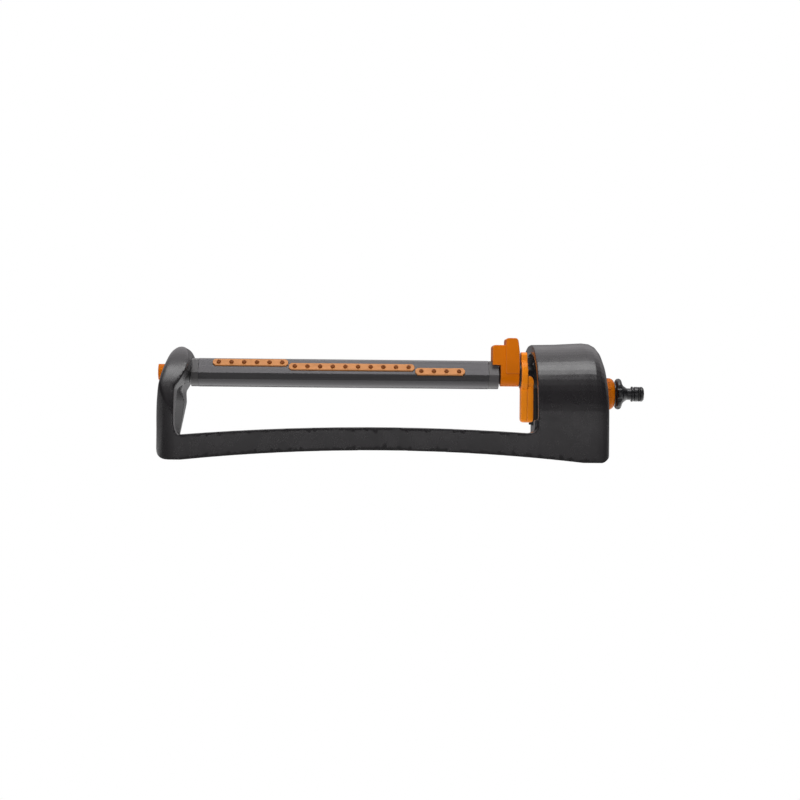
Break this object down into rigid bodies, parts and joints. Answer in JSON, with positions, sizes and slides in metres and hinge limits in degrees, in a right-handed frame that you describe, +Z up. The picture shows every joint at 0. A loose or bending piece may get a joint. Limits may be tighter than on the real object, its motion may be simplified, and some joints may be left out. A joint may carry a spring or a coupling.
{
  "type": "oscillating lawn sprinkler",
  "caption": "Oscillating lawn sprinkler: a moulded hoop base and domed motor housing carry a swinging tilted spray bar with nozzle strips, flow knob, range levers and hose inlet.",
  "frame": {"origin": "on the ground, at the centre of the sprinkler's box", "axes": "+X along the spray bar towards the hose inlet, +Y from front to back, +Z up"},
  "size_m": [0.5244, 0.19, 0.1328],
  "materials": {
    "charcoal_plastic": "fine satin moulded texture",
    "black_plastic": "smooth satin",
    "recess_plastic": "dull, fine grain",
    "grey_plastic": "matte",
    "steel": "plain zinc or stainless",
    "seal_rubber": "soft black rubber",
    "bar_anodised": "dark grey anodised, satin",
    "bar_cap": "satin",
    "strip_orange": "soft orange elastomer",
    "jet_orange": "darker orange tips",
    "gear_nylon": "natural acetal",
    "orange_plastic": "satin gloss"
  },
  "bodies": {
    "base": {"base_frame": "charcoal_plastic", "housing_shell": "charcoal_plastic", "bottom_cover": "charcoal_plastic", "cover_screws": "steel", "face_plate": "recess_plastic", "plate_screws": "steel", "end_bush": "black_plastic", "drive_bush": "black_plastic", "gear_case": "grey_plastic", "gear_cover": "grey_plastic", "gear_axles": "steel", "turbine_case": "grey_plastic", "inlet_seal": "seal_rubber", "clip_ring": "black_plastic"},
    "spray_bar": {"bar_tube": "bar_anodised", "left_end_cap": "bar_cap", "right_end_cap": "bar_cap", "nozzle_strip_left": "strip_orange", "nozzle_strip_middle": "strip_orange", "nozzle_strip_right": "strip_orange", "nozzle_jets": "jet_orange", "drive_shaft": "black_plastic", "shaft_seals": "seal_rubber", "output_gear": "gear_nylon"},
    "flow_control": {"flow_knob": "orange_plastic"},
    "end_plug": {"needle_plug": "orange_plastic", "cleaning_needle": "steel", "plug_seal": "seal_rubber"},
    "rear_limit": {"rear_range_lever": "orange_plastic"},
    "front_limit": {"front_range_lever": "orange_plastic"},
    "second_gear": {"second_gear": "gear_nylon"},
    "first_gear": {"first_gear": "gear_nylon"},
    "turbine": {"turbine_wheel": "gear_nylon"},
    "inlet": {"swivel_nut": "orange_plastic", "hose_nipple": "black_plastic", "nipple_seal": "seal_rubber", "inlet_filter": "steel"}
  },
  "joints": [
    {"name": "bar_swing", "type": "hinge", "parent": "base", "child": "spray_bar", "pos_m": [0, 0, 0.093], "axis": [1, 0, 0], "range_deg": [-118, 2]},
    {"name": "flow_knob_turn", "type": "hinge", "parent": "spray_bar", "child": "flow_control", "pos_m": [0, 0, 0.093], "axis": [1, 0, 0], "range_deg": [-45, 45]},
    {"name": "plug_pull", "type": "slide", "parent": "spray_bar", "child": "end_plug", "axis": [-1, 0, 0], "range_m": [0, 0.07]},
    {"name": "rear_limit_turn", "type": "hinge", "parent": "base", "child": "rear_limit", "pos_m": [0, 0, 0.093], "axis": [1, 0, 0], "range_deg": [0, 60]},
    {"name": "front_limit_turn", "type": "hinge", "parent": "base", "child": "front_limit", "pos_m": [0, 0, 0.093], "axis": [1, 0, 0], "range_deg": [-60, 0]},
    {"name": "second_gear_spin", "type": "hinge", "parent": "base", "child": "second_gear", "pos_m": [0, 0, 0.0738], "axis": [1, 0, 0], "range_deg": [-6, 354]},
    {"name": "first_gear_spin", "type": "hinge", "parent": "base", "child": "first_gear", "pos_m": [0, 0, 0.093], "axis": [1, 0, 0], "range_deg": [-1062, 18]},
    {"name": "turbine_spin", "type": "hinge", "parent": "base", "child": "turbine", "pos_m": [0, 0, 0.0738], "axis": [1, 0, 0], "range_deg": [-54, 3186]},
    {"name": "inlet_swivel", "type": "hinge", "parent": "base", "child": "inlet", "pos_m": [0, 0, 0.0738], "axis": [1, 0, 0], "continuous": true}
  ],
  "couplings": [
    {"joint": "second_gear_spin", "follows": "bar_swing", "ratio": -3},
    {"joint": "first_gear_spin", "follows": "bar_swing", "ratio": 9},
    {"joint": "turbine_spin", "follows": "bar_swing", "ratio": -27}
  ]
}
